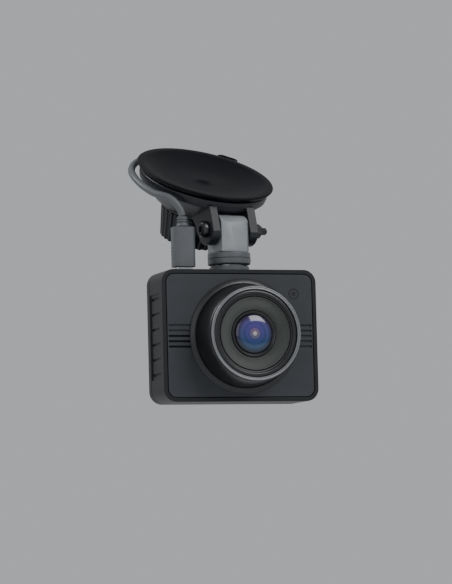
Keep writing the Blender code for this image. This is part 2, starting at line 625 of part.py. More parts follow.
def make_lead(camera, grey, dark, steel):
    """The cord, its coil, the tie round the coil, and the plug on its far end."""
    wire("cord_run", smooth_line(CORD_ROUTE, 0.0042), CORD, camera, grey)
    wire("cord_tail", smooth_line(tail_route(), 0.0042), CORD, camera, grey)
    half = COIL_LAYERS * COIL_PITCH / 2
    thick = COIL_ROWS * COIL_PITCH
    ring = tube_profile(COIL_MIDDLE - half, COIL_MIDDLE + half, -thick, 0)
    place = (COIL_X, COIL_FACE, COIL_Z)
    finish("cord_coil", facing_front(turned(ring, 40)), camera, place, grey)
    strap = plate(thick + 0.0028, 2 * half + 0.0038, 0.0016, -0.0030, 0.0030, 3)
    window = plate(thick + 0.0008, 2 * half + 0.0018, 0.0006, -0.0040, 0.0040, 3)
    for shape in (strap, window):
        for vert in shape.verts:
            x, y, z = vert.co
            vert.co = (y, x, z)
    tie = finish("cord_tie", strap, camera, (COIL_X, COIL_FACE + thick / 2, COIL_Z + COIL_MIDDLE), dark)
    cut(tie, window, "loop")

    back = COIL_FACE + thick + 0.0039
    body = moved(block(0.0180, 0.0070, 0.0155, 0.0016, 3), -0.0030)
    plug = finish("far_plug_body", body, camera, (COIL_X, back, COIL_Z - 0.0030), grey)
    taper = along_x(turned([(0, -0.0166), (0.0020, -0.0166), (0.0029, -0.0115), (0, -0.0115)], 20))
    add(plug, taper, "taper")
    shell = moved(block(0.0184, 0.0045, 0.0120, 0.0003, 1), 0.0155)
    finish("far_plug_shell", shell, camera, (COIL_X, back, COIL_Z - 0.0030), steel)


def main():
    clear_scene()
    black = material("black_plastic", (0.010, 0.011, 0.013), 0.45)
    panel_grey = material("panel_blue_grey", (0.045, 0.054, 0.063), 0.55)
    rubber = material("cup_rubber", (0.008, 0.009, 0.012), 0.3)
    slate = material("mount_plastic", (0.018, 0.021, 0.025), 0.4)
    light = material("knuckle_grey", (0.40, 0.42, 0.44), 0.45)
    grey = material("lead_grey", (0.16, 0.17, 0.18), 0.5)
    silver = material("trim_silver", (0.20, 0.21, 0.22), 0.35, 0.8)
    baffle = material("baffle_grey", (0.05, 0.06, 0.055), 0.6)
    steel = material("steel", (0.55, 0.56, 0.58), 0.3, 1.0)
    glass = material("coated_glass", (0.03, 0.03, 0.08), 0.05)
    board = material("circuit_board", (0.02, 0.10, 0.06), 0.5)
    chip = material("chip", (0.02, 0.02, 0.02), 0.3)
    foil = material("battery_foil", (0.30, 0.31, 0.33), 0.4, 0.5)

    mount = empty("mount_frame", (0, 0, 0), (GLASS_SLOPE, 0, MOUNT_YAW))
    swing = empty("tilt_pivot", PIVOT, (0, 0, MOUNT_YAW))
    camera = empty("swivel_pivot", PIVOT)
    make_cup(mount, rubber)
    make_housing(mount, slate)
    make_knob(mount, slate)
    make_stem(mount, steel)
    make_tilt_bolt(mount, steel, slate)
    make_knuckle(swing, light, grey, steel)
    socket = tube_profile(0.0024, 0.0083, TOP + GAP, TOP + 0.0021)
    finish("swivel_socket", turned(socket, 32), camera, (0, 0, 0), slate)
    make_front_shell(camera, black)
    make_front_panel(camera, panel_grey)
    make_rear_shell(camera, black)
    make_lens(camera, black, silver, baffle, glass, slate)
    make_insides(camera, board, chip, foil, steel, glass)
    make_keys(camera, slate)
    make_plug(camera, steel, grey)
    make_lead(camera, grey, rubber, steel)


main()
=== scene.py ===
"""The looks of a dash camera on a twist-lock suction mount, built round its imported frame. Metres, +Z up."""

import math

import bmesh
import bpy
from mathutils import Euler, Matrix, Vector


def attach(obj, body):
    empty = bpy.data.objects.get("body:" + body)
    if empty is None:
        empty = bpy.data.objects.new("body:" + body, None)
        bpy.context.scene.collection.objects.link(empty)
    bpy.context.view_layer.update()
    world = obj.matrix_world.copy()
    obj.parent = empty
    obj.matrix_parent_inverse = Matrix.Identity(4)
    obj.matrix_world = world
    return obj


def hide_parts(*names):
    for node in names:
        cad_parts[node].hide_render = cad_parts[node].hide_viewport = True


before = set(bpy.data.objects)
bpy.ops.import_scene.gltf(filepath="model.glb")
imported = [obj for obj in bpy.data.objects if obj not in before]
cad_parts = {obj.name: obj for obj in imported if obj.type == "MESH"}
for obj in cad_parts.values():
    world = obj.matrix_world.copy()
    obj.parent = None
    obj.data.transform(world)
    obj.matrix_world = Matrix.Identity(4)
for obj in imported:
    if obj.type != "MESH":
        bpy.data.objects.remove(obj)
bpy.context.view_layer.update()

GLASS_SLOPE = math.radians(28.6)
MOUNT_YAW = math.radians(11.5)
MOUNT = Euler((GLASS_SLOPE, 0, MOUNT_YAW)).to_matrix().to_4x4()
PIVOT_IN_MOUNT = Vector((0.0, -0.02775, -0.0146))
PIVOT = MOUNT @ PIVOT_IN_MOUNT
CAMERA = Matrix.Translation(PIVOT)
KNUCKLE = CAMERA @ Matrix.Rotation(MOUNT_YAW, 4, "Z")

WIDTH = 0.067
HEIGHT = 0.0543
DEPTH = 0.020
CORNER = 0.0053
TOP = -0.0175
FRONT = -0.0120
BACK = FRONT + DEPTH
SEAM = FRONT + 0.0165
MIDDLE = TOP - HEIGHT / 2
LENS_X = 0.0015
LENS_Z = MIDDLE - 0.0003
BARREL_ROOT = 0.0214
RIM = 0.015
GAP = 0.0003
ROUND = 96
WALL = 0.0016
SCREEN_X = -0.0035
KEY_X = 0.0275
KEY_LEVELS = [MIDDLE + 0.009 * (1.5 - k) for k in range(4)]
POWER_PLACE = (WIDTH / 2, FRONT + 0.0095, MIDDLE + 0.010)
CARD_PLACE = (WIDTH / 2, FRONT + 0.0114, MIDDLE - 0.006)
PLUG_PLACE = (-0.0206, -0.0020, TOP)
MARK_PLACE = (0.0236, FRONT, TOP - 0.0100)
SCREW_INSET = 0.0047
SCREW_OUT = WIDTH / 2 - SCREW_INSET
SCREW_UP = HEIGHT / 2 - SCREW_INSET
SCREW_PLACES = [(x * SCREW_OUT, MIDDLE + level * SCREW_UP) for x in (-1, 1) for level in (-1, 1)]
TAB_TURN = math.radians(-46)
SHARP_ANGLE = math.radians(38)
EAR_RADIUS = 0.0066
EAR_THICK = 0.004
EAR_GAP = 0.0138
KNUCKLE_FOOT = TOP + 0.0082


# Materials.

def material(name, colour, roughness, metallic=0.0, **extra):
    """A Principled material with its even values set on its own sockets."""
    made = bpy.data.materials.new(name)
    made.use_nodes = True
    shader = made.node_tree.nodes["Principled BSDF"]
    shader.inputs["Base Color"].default_value = (*colour, 1)
    shader.inputs["Roughness"].default_value = roughness
    shader.inputs["Metallic"].default_value = metallic
    for socket, value in extra.items():
        shader.inputs[socket.replace("_", " ")].default_value = value
    return made


def grain(made, scale, bump, tone_and_painted_reflection=0.12, uneven=0.06, detail=4.0):
    """Moulded or cast grain: fine bump, and colour and roughness that vary a little."""
    tree = made.node_tree
    nodes, links = tree.nodes, tree.links
    shader = nodes["Principled BSDF"]
    place = nodes.new("ShaderNodeTexCoord")
    fine = nodes.new("ShaderNodeTexNoise")
    fine.inputs["Scale"].default_value = scale
    fine.inputs["Detail"].default_value = detail
    links.new(place.outputs["Object"], fine.inputs["Vector"])
    broad = nodes.new("ShaderNodeTexNoise")
    broad.inputs["Scale"].default_value = scale / 14
    broad.inputs["Detail"].default_value = 3.0
    links.new(place.outputs["Object"], broad.inputs["Vector"])
    ramp = nodes.new("ShaderNodeValToRGB")
    colour = shader.inputs["Base Color"].default_value[:3]
    ramp.color_ramp.elements[0].position = 0.3
    ramp.color_ramp.elements[0].color = (*[c * (1 - tone_and_painted_reflection) for c in colour], 1)
    ramp.color_ramp.elements[1].position = 0.7
    ramp.color_ramp.elements[1].color = (*[min(1, c * (1 + tone_and_painted_reflection)) for c in colour], 1)
    links.new(broad.outputs["Fac"], ramp.inputs["Fac"])
    links.new(ramp.outputs["Color"], shader.inputs["Base Color"])
    gloss = nodes.new("ShaderNodeMapRange")
    rough = shader.inputs["Roughness"].default_value
    gloss.inputs["To Min"].default_value = max(0.02, rough - uneven)
    gloss.inputs["To Max"].default_value = min(1.0, rough + uneven)
    links.new(broad.outputs["Fac"], gloss.inputs["Value"])
    links.new(gloss.outputs["Result"], shader.inputs["Roughness"])
    relief = nodes.new("ShaderNodeBump")
    relief.inputs["Strength"].default_value = bump
    relief.inputs["Distance"].default_value = 0.00008
    links.new(fine.outputs["Fac"], relief.inputs["Height"])
    links.new(relief.outputs["Normal"], shader.inputs["Normal"])
    return made


def from_lens_axis(made, scale):
    """Two nodes: the scaled offset from the lens axis, and its length."""
    nodes, links = made.node_tree.nodes, made.node_tree.links
    place = nodes.new("ShaderNodeTexCoord")
    shift = nodes.new("ShaderNodeVectorMath")
    shift.operation = "SUBTRACT"
    shift.inputs[1].default_value = (PIVOT.x + LENS_X, 0, PIVOT.z + LENS_Z)
    flat = nodes.new("ShaderNodeVectorMath")
    flat.operation = "MULTIPLY"
    flat.inputs[1].default_value = (scale, 0, scale)
    far = nodes.new("ShaderNodeVectorMath")
    far.operation = "LENGTH"
    links.new(place.outputs["Object"], shift.inputs[0])
    links.new(shift.outputs["Vector"], flat.inputs[0])
    links.new(flat.outputs["Vector"], far.inputs[0])
    return flat, far


def rings(made, pitch, depth):
    """Fine turned rings round the lens axis, as bump."""
    tree = made.node_tree
    nodes, links = tree.nodes, tree.links
    far = from_lens_axis(made, 1)[1]
    turn = nodes.new("ShaderNodeMath")
    turn.operation = "MULTIPLY"
    turn.inputs[1].default_value = math.tau / pitch
    wave = nodes.new("ShaderNodeMath")
    wave.operation = "SINE"
    relief = nodes.new("ShaderNodeBump")
    relief.inputs["Strength"].default_value = depth
    relief.inputs["Distance"].default_value = 0.0001
    links.new(far.outputs["Value"], turn.inputs[0])
    links.new(turn.outputs["Value"], wave.inputs[0])
    links.new(wave.outputs["Value"], relief.inputs["Height"])
    links.new(relief.outputs["Normal"], nodes["Principled BSDF"].inputs["Normal"])
    return made


CASE = grain(material("case_black", (0.0065, 0.0072, 0.0095), 0.45, Specular_IOR_Level=0.35), 2600, 0.55)
BARREL = grain(material("barrel_black", (0.008, 0.0085, 0.010), 0.34), 2600, 0.25)
PANEL = grain(
    material("panel_blue_grey", (0.026, 0.029, 0.035), 0.52, Specular_IOR_Level=0.4), 3200, 0.45, 0.08,
)
SLATE = grain(material("mount_slate", (0.011, 0.013, 0.017), 0.38, Specular_IOR_Level=0.40), 2200, 0.40)
LIGHT = grain(material("knuckle_light_grey", (0.235, 0.25, 0.265), 0.40), 2400, 0.30, 0.08)
DISC = grain(material("disc_grey", (0.085, 0.092, 0.10), 0.38), 2400, 0.30, 0.08)
LEAD = grain(material("lead_grey", (0.085, 0.092, 0.10), 0.46), 1800, 0.35, 0.10)
RUBBER = grain(
    material("cup_rubber", (0.0036, 0.0042, 0.0062), 0.46, Specular_IOR_Level=0.10), 900, 0.18, 0.25, 0.08,
)
STRAP = grain(material("strap_black", (0.012, 0.012, 0.013), 0.75), 2800, 0.9, 0.3)
SILVER = grain(material("trim_silver_grey", (0.20, 0.205, 0.215), 0.40, 0.6), 2200, 0.04, 0.05, 0.04)
DARK_RING = grain(material("ring_dark", (0.012, 0.013, 0.015), 0.30), 2600, 0.15)
BAFFLE = rings(material("baffle_green_grey", (0.050, 0.057, 0.052), 0.46), 0.00042, 0.5)
STEEL = grain(material("steel", (0.56, 0.57, 0.59), 0.26, 1.0), 1400, 0.15, 0.06)
BLACK_STEEL = grain(material("blackened_steel", (0.06, 0.062, 0.066), 0.32, 0.9), 1600, 0.2, 0.10)
KEY = grain(material("key_rubber", (0.022, 0.024, 0.027), 0.62), 2400, 0.5)
WINDOW = grain(material("display_black", (0.004, 0.004, 0.005), 0.06, Coat_Weight=0.6), 60, 0.02, 0.1, 0.02)
BOARD = grain(material("circuit_green", (0.012, 0.075, 0.040), 0.38), 1800, 0.3, 0.3)
CHIP = grain(material("chip_black", (0.012, 0.012, 0.013), 0.45), 2200, 0.3)
FOIL = grain(material("battery_foil", (0.40, 0.41, 0.43), 0.35, 0.8), 700, 0.5, 0.1)
MARK = grain(material("mark_black", (0.008, 0.009, 0.012), 0.30), 2400, 0.2)


# Shapes.

def made_of(name, shape, place, body, finish, stands_for, slot, soften=0.0, angle=30.0, segments=3):
    """One visible piece: a shape in its own frame, softened along its edges, that rides on a body."""
    bmesh.ops.recalc_face_normals(shape, faces=shape.faces)
    mesh = bpy.data.meshes.new(name)
    shape.to_mesh(mesh)
    shape.free()
    mesh.transform(place)
    mesh.shade_smooth()
    mesh.set_sharp_from_angle(angle=SHARP_ANGLE)
    piece = bpy.data.objects.new(name, mesh)
    bpy.context.scene.collection.objects.link(piece)
    mesh.materials.append(finish)
    if soften:
        bevel = piece.modifiers.new("soft_edges", "BEVEL")
        bevel.width = soften
        bevel.segments = segments
        bevel.limit_method = "ANGLE"
        bevel.angle_limit = math.radians(angle)
        bevel.harden_normals = True
    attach(piece, body)
    if stands_for:
        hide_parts(*stands_for)
    return piece


def cut_from(piece, shape, place, name):
    """Takes a shape out of a piece, ahead of its edge softening, and leaves no helper behind."""
    bmesh.ops.recalc_face_normals(shape, faces=shape.faces)
    mesh = bpy.data.meshes.new(name)
    shape.to_mesh(mesh)
    shape.free()
    mesh.transform(place)
    helper = bpy.data.objects.new(name, mesh)
    bpy.context.scene.collection.objects.link(helper)
    modifier = piece.modifiers.new(name, "BOOLEAN")
    modifier.operation = "DIFFERENCE"
    modifier.object = helper
    bpy.context.view_layer.objects.active = piece
    while piece.modifiers.find(name) > 0:
        bpy.ops.object.modifier_move_up(modifier=name)
    with bpy.context.temp_override(object=piece, active_object=piece, selected_objects=[piece]):
        bpy.ops.object.modifier_apply(modifier=name)
    bpy.data.objects.remove(helper)
    piece.data.shade_smooth()
    piece.data.set_sharp_from_angle(angle=SHARP_ANGLE)


def on_camera(name, shape, finish, stands_for, slot, *edges):
    return made_of(name, shape, CAMERA, "camera", finish, stands_for, slot, *edges)


def on_mount(name, shape, finish, stands_for, slot, *edges):
    return made_of(name, shape, MOUNT, "mount", finish, stands_for, slot, *edges)


def turned(profile, steps=ROUND):
    """A solid of revolution about Z from a closed (radius, height) outline. Radius 0 is a pole."""
    shape = bmesh.new()
    loops = []
    for radius, height in profile:
        if radius == 0:
            loops.append([shape.verts.new((0, 0, height))] * steps)
            continue
        turns = [math.tau * k / steps for k in range(steps)]
        loops.append([shape.verts.new((radius * math.cos(t), radius * math.sin(t), height)) for t in turns])
    for ring, after in zip(loops, loops[1:] + loops[:1]):
        for k in range(steps):
            corners = [ring[k], ring[(k + 1) % steps], after[(k + 1) % steps], after[k]]
            different = list(dict.fromkeys(corners))
            if len(different) > 2:
                shape.faces.new(different)
    return shape


def tube_profile(inner, outer, low, high):
    return [(inner, low), (outer, low), (outer, high), (inner, high)]


def block(width, depth, height, at=(0, 0, 0)):
    shape = bmesh.new()
    bmesh.ops.create_cube(shape, size=1.0)
    bmesh.ops.scale(shape, vec=(width, depth, height), verts=shape.verts)
    bmesh.ops.translate(shape, vec=at, verts=shape.verts)
    return shape


def extruded(outline, low, high):
    """A closed (x, y) outline extruded along Z."""
    shape = bmesh.new()
    under = [shape.verts.new((x, y, low)) for x, y in outline]
    over = [shape.verts.new((x, y, high)) for x, y in outline]
    shape.faces.new(under)
    shape.faces.new(over)
    for k in range(len(outline)):
        after = (k + 1) % len(outline)
        shape.faces.new([under[k], under[after], over[after], over[k]])
    return shape


def rounded_outline(width, height, corner, steps=14):
    """A rectangle with round corners, centred on 0, anticlockwise."""
    points = []
    for quarter in range(4):
        side_x = 1 if quarter in (0, 3) else -1
        side_y = 1 if quarter < 2 else -1
        for k in range(steps + 1):
            angle = math.pi / 2 * (quarter + k / steps)
            x = side_x * (width / 2 - corner) + corner * math.cos(angle)
            y = side_y * (height / 2 - corner) + corner * math.sin(angle)
            points.append((x, y))
    return points


def remap(shape, rule):
    for vert in shape.verts:
        vert.co = rule(*vert.co)
    return shape


def plate(width, height, corner, front, back, x=0.0, z=MIDDLE, steps=14):
    """An upright rounded plate: outline in X and Z, thickness along Y from front to back."""
    shape = extruded(rounded_outline(width, height, corner, steps), front, back)
    return remap(shape, lambda a, b, c: (x + a, c, z + b))


def facing_front(shape, x, y, z):
    """A turned solid laid down, so that its +Z points forward along -Y."""
    return remap(shape, lambda a, b, c: (x + a, y - c, z + b))


def rod_y(radius, front, back, x, z, steps=48):
    return facing_front(
        turned([(0, -back), (radius, -back), (radius, -front), (0, -front)], steps), x, 0, z,
    )


def along_x(shape, x=0.0, y=0.0, z=0.0):
    return remap(shape, lambda a, b, c: (x + c, y + a, z + b))


def soft_rim(shape, at, width, segments=4):
    """Rounds the rim of the face that lies at one Y."""
    rim = [e for e in shape.edges if all(abs(v.co.y - at) < 1e-6 for v in e.verts)]
    bmesh.ops.bevel(shape, geom=rim, offset=width, segments=segments, affect="EDGES", profile=0.5)
    return shape


def arc(radius_at, height_at, radius, start, stop, steps=6):
    """Points on a round stretch of a profile, angles in degrees."""
    turns = [math.radians(start + (stop - start) * k / steps) for k in range(steps + 1)]
    return [(radius_at + radius * math.cos(t), height_at + radius * math.sin(t)) for t in turns]


# The mount, in its own frame: Z out through the glass, Y up the windscreen.

def make_cup():
    dish = [
        (0, -0.00285), (0.0014, -0.00290), (0.0024, -0.0032), (0.0031, -0.00365), (0.0060, -0.00372),
        (0.0110, -0.00368), (0.0150, -0.0033), (0.0180, -0.00264), (0.0212, -0.0018), (0.0240, -0.00095),
        (0.0254, -0.0004), (0.0260, -0.0001), (0.0266, 0.0), (0.0284, 0.0),
        *arc(0.0287, -0.0005, 0.0005, 90, -60), (0.0284, -0.0017), (0.0250, -0.0030), (0.0180, -0.0050),
        (0, -0.0062),
    ]
    on_mount("cup", turned(dish, 128), RUBBER, ["suction_cup"], "cup_rubber")
    side = MOUNT @ Matrix.Rotation(TAB_TURN, 4, "Z")
    tab = extruded(rounded_outline(0.0090, 0.0058, 0.0016, 8), -0.0016, -0.0005)
    tab = remap(tab, lambda x, y, z: (x, y + 0.0304, z))
    made_of("cup_pull_tab", tab, side, "mount", RUBBER, [], "cup_rubber", 0.0003)
    for k in range(3):
        rib = block(0.0062, 0.0004, 0.0003, (0, 0.0309 + 0.0008 * k, -0.00045))
        made_of(f"pull_tab_rib_{k + 1}", rib, side, "mount", RUBBER, [], "cup_rubber", 0.0001)


def ear(side):
    """A clevis ear: a round end about the pivot and a foot that runs into the housing."""
    foot_high = (-0.0085, -0.0125)
    foot_low = (-0.0262, -0.0045)
    points = [foot_high, *arc(PIVOT_IN_MOUNT.y, PIVOT_IN_MOUNT.z, EAR_RADIUS, -28, -196, 24), foot_low]
    near = side * EAR_GAP / 2
    far = side * (EAR_GAP / 2 + EAR_THICK)
    return remap(extruded(points, min(near, far), max(near, far)), lambda y, z, x: (x, y, z))


def bolt_hole(reach, y, z):
    """The hinge bolt's clearance hole, along X to both sides of the middle."""
    return along_x(turned([(0, -reach), (0.0018, -reach), (0.0018, reach), (0, reach)], 40), 0, y, z)


def make_housing():
    profile = [
        (0.0090, -0.0068), (0.0186, -0.0056), (0.0250, -0.0036), (0.0267, -0.0026),
        *arc(0.0270, -0.0032, 0.0006, 90, 0), (0.0274, -0.0050), *arc(0.0262, -0.0058, 0.0010, 0, -50),
        (0.0256, -0.0078), (0.0190, -0.0138), (0.0168, -0.0150), *arc(0.0154, -0.0158, 0.0006, 30, -60),
        (0.0150, -0.0168), (0.0034, -0.0168), (0.0034, -0.0145), (0.0090, -0.0145),
    ]
    on_mount("mount_shell", turned(profile, 128), SLATE, ["mount_housing"], "mount_plastic")
    for side, name in ((-1, "clevis_ear_left"), (1, "clevis_ear_right")):
        piece = on_mount(name, ear(side), SLATE, [], "mount_plastic", 0.0006, 25)
        cut_from(piece, bolt_hole(0.013, PIVOT_IN_MOUNT.y, PIVOT_IN_MOUNT.z), MOUNT, "hole")


def make_knob():
    low = -0.0300
    high = -0.0172
    radius = 0.0153
    ribs = 28
    one_rib = [(0.04, 0.0002), (0.12, 0), (0.40, 0), (0.48, 0.0002), (0.58, 0.00075), (0.94, 0.00075)]
    points = []
    for rib in range(ribs):
        for share, inset in one_rib:
            angle = math.tau * (rib + share) / ribs
            points.append(((radius - inset) * math.cos(angle), (radius - inset) * math.sin(angle)))
    shape = extruded(points, low, high)

    def tapered(x, y, z):
        share = 1 - 0.15 * (high - z) / (high - low)
        return x * share, y * share, z

    made_of(
        "lock_knob", remap(shape, tapered), MOUNT, "twist_knob", SLATE, ["twist_knob"], "mount_plastic",
        0.0003, 40, 2,
    )
    cap = [
        (0, low + 0.00001), (0.0078, low + 0.00001), (0.0080, low + 0.0002), (0.0080, low + 0.0005),
        (0, low + 0.0005),
    ]
    made_of("lock_knob_cap", turned(cap, 64), MOUNT, "twist_knob", LIGHT, ["knob_cap"], "mount_plastic")


def make_bolt():
    left = -EAR_GAP / 2 - EAR_THICK
    right = -left
    y, z = PIVOT_IN_MOUNT.y, PIVOT_IN_MOUNT.z
    head = [
        (0, left - 0.0016), (0.0012, left - 0.0016), (0.0014, left - 0.0025), (0.0024, left - 0.0026),
        (0.0031, left - 0.0023), (0.0034, left - 0.0018), (0.0034, left - 0.0003), (0.0015, left - 0.0003),
        (0.0015, right + 0.0068), (0.0012, right + 0.0072), (0, right + 0.0072),
    ]
    on_mount("hinge_bolt", along_x(turned(head, 64), 0, y, z), BLACK_STEEL, ["tilt_bolt"], "steel")
    for k in range(5):
        at = right + 0.0044 + 0.0005 * k
        thread = [(0.0014, at), (0.00153, at + 0.0001), (0.00153, at + 0.00018), (0.0014, at + 0.00028)]
        on_mount(f"bolt_thread_{k + 1}", along_x(turned(thread, 40), 0, y, z), BLACK_STEEL, [], "steel")
    washer = along_x(turned(tube_profile(0.0018, 0.0040, right + 0.0003, right + 0.0011), 64), 0, y, z)
    on_mount("hinge_washer", washer, STEEL, ["tilt_washer"], "steel", 0.00012)
    nut = along_x(turned(tube_profile(0.0018, 0.0031, right + 0.0014, right + 0.0040), 6), 0, y, z)
    on_mount("hinge_nut", nut, BLACK_STEEL, ["tilt_nut"], "steel", 0.00025, 20)


def make_knuckle():
    wide = EAR_GAP - 0.0010
    radius = 0.0062
    outline = [(-0.0064, KNUCKLE_FOOT), (radius, KNUCKLE_FOOT), *arc(0, 0, radius, 0, 180, 28)]
    shape = remap(extruded(outline, -wide / 2, wide / 2), lambda y, z, x: (x, y, z))
    piece = made_of(
        "hinge_block", shape, KNUCKLE, "knuckle", LIGHT, ["knuckle_block"], "knuckle_grey", 0.00045, 28,
    )
    for side in (-1, 1):
        groove = block(0.0068, 0.0030, 0.020)
        bmesh.ops.rotate(
            groove, cent=(0, 0, 0), matrix=Matrix.Rotation(side * 0.28, 3, "Z"), verts=groove.verts,
        )
        bmesh.ops.translate(groove, vec=(side * 0.0034, -0.0072, -0.004), verts=groove.verts)
        cut_from(piece, groove, KNUCKLE, "face")
    cut_from(piece, bolt_hole(0.010, 0, 0), KNUCKLE, "hole")
    high = KNUCKLE_FOOT - GAP
    low = TOP + 0.0029
    profile = [
        (0.0024, high), (0.0024, low), (0.0082, low), *arc(0.0084, low + 0.0005, 0.0005, -90, 0),
        (0.0089, (low + high) / 2 - 0.0002), (0.00865, (low + high) / 2),
        (0.0089, (low + high) / 2 + 0.0002), *arc(0.0083, high - 0.0006, 0.0006, 0, 90),
    ]
    made_of("turning_disc", turned(profile, 112), KNUCKLE, "knuckle", DISC, ["swivel_disc"], "disc_grey")
    screw = [
        (0, 0.0080), (0.0013, 0.0080), (0.0013, 0.0096), (0.0011, 0.0100), (0.0006, 0.0101), (0, 0.0097),
    ]
    screw = along_x(turned(screw, 48), 0, 0, (low + high) / 2)
    made_of("disc_clamp_screw", screw, KNUCKLE, "knuckle", STEEL, [], "steel")
    socket = [
        (0.0024, TOP + 0.0003), (0.0083, TOP + 0.0003), (0.0083, TOP + 0.0018), (0.0080, TOP + 0.0021),
        (0.0024, TOP + 0.0021),
    ]
    on_camera("turning_socket", turned(socket, 96), DISC, ["swivel_socket"], "mount_plastic")


# The camera's case.

def inside(front, back):
    """The room inside the case's walls, between two depths."""
    return plate(WIDTH - 2 * WALL, HEIGHT - 2 * WALL, CORNER - WALL, front, back)


def make_case():
    shape = soft_rim(plate(WIDTH, HEIGHT, CORNER, FRONT, SEAM), FRONT, 0.0010)
    case = on_camera("case_front", shape, CASE, ["front_shell"], "case_black", 0.00015, 50, 2)
    cut_from(case, inside(FRONT + 0.0030, SEAM + 0.001), CAMERA, "hollow")
    cut_from(
        case, plate(WIDTH - 0.0034, HEIGHT - 0.0034, CORNER - 0.0017, FRONT - 0.001, FRONT + 0.0013),
        CAMERA, "recess",
    )
    cut_from(case, rod_y(0.0096, FRONT, FRONT + 0.004, LENS_X, LENS_Z), CAMERA, "lens_hole")
    band = block(0.0010, 0.0122, 0.0350, (-WIDTH / 2, FRONT + 0.0100, MIDDLE))
    cut_from(case, band, CAMERA, "band")
    for k in range(6):
        z = MIDDLE + 0.0062 * (2.5 - k)
        cut_from(case, block(0.0022, 0.0112, 0.0010, (-WIDTH / 2, FRONT + 0.0100, z)), CAMERA, "vent")
    cut_from(case, block(0.0074, 0.0036, 0.006, PLUG_PLACE), CAMERA, "plug_opening")
    cut_from(case, block(0.006, 0.0017, 0.0118, CARD_PLACE), CAMERA, "card_opening")
    button = along_x(turned([(0, -0.004), (0.0022, -0.004), (0.0022, 0.002), (0, 0.002)], 48), *POWER_PLACE)
    cut_from(case, button, CAMERA, "power_opening")

    back = soft_rim(plate(WIDTH, HEIGHT, CORNER, SEAM + GAP, BACK), BACK, 0.0012)
    rear = on_camera("case_rear", back, CASE, ["rear_shell"], "case_black", 0.00015, 50, 2)
    cut_from(rear, inside(SEAM - 0.001, BACK - 0.0018), CAMERA, "hollow")
    cut_from(
        rear, plate(0.0440, 0.0340, 0.001, BACK - 0.004, BACK + 0.001, SCREEN_X), CAMERA, "display_opening",
    )
    cut_from(
        rear, plate(0.0486, 0.0386, 0.002, BACK - 0.0011, BACK + 0.001, SCREEN_X), CAMERA, "window_seat",
    )
    for z in KEY_LEVELS:
        cut_from(rear, rod_y(0.0027, BACK - 0.004, BACK + 0.001, KEY_X, z), CAMERA, "key_hole")
    cut_from(
        rear, rod_y(0.0010, BACK - 0.004, BACK + 0.001, SCREEN_X, MIDDLE - 0.0215), CAMERA, "light_hole",
    )
    for place in SCREW_PLACES:
        cut_from(rear, rod_y(0.0020, BACK - 0.0012, BACK + 0.001, *place), CAMERA, "screw_seat")


def make_panel():
    shape = plate(WIDTH - 0.0040, HEIGHT - 0.0040, CORNER - 0.0020, FRONT, FRONT + 0.0010)
    panel = on_camera("face_panel", shape, PANEL, ["front_panel"], "panel_grey", 0.00016, 50, 2)
    cut_from(
        panel, rod_y(BARREL_ROOT + GAP, FRONT - 0.001, FRONT + 0.002, LENS_X, LENS_Z, ROUND), CAMERA,
        "barrel_hole",
    )
    for k in range(5):
        z = LENS_Z + 0.00217 * (2 - k)
        deep = 0.0030 if k >= 2 else 0.0012
        cut_from(panel, block(0.0100, deep, 0.0009, (-0.0260, FRONT, z)), CAMERA, "left_groove")
        cut_from(panel, block(0.0076, 0.0012, 0.0009, (0.0272, FRONT, z)), CAMERA, "right_groove")
    ring = facing_front(turned(tube_profile(0.0017, 0.0023, -0.0002, 0.00001), 64), *MARK_PLACE)
    on_camera("record_mark_ring", ring, MARK, [], "panel_grey")
    dot = facing_front(
        turned([(0, -0.0002), (0.0009, -0.0002), (0.0009, 0.00001), (0, 0.00001)], 48), *MARK_PLACE,
    )
    on_camera("record_mark_dot", dot, MARK, [], "panel_grey")


# The lens, turned about its axis; heights run forward from the face.

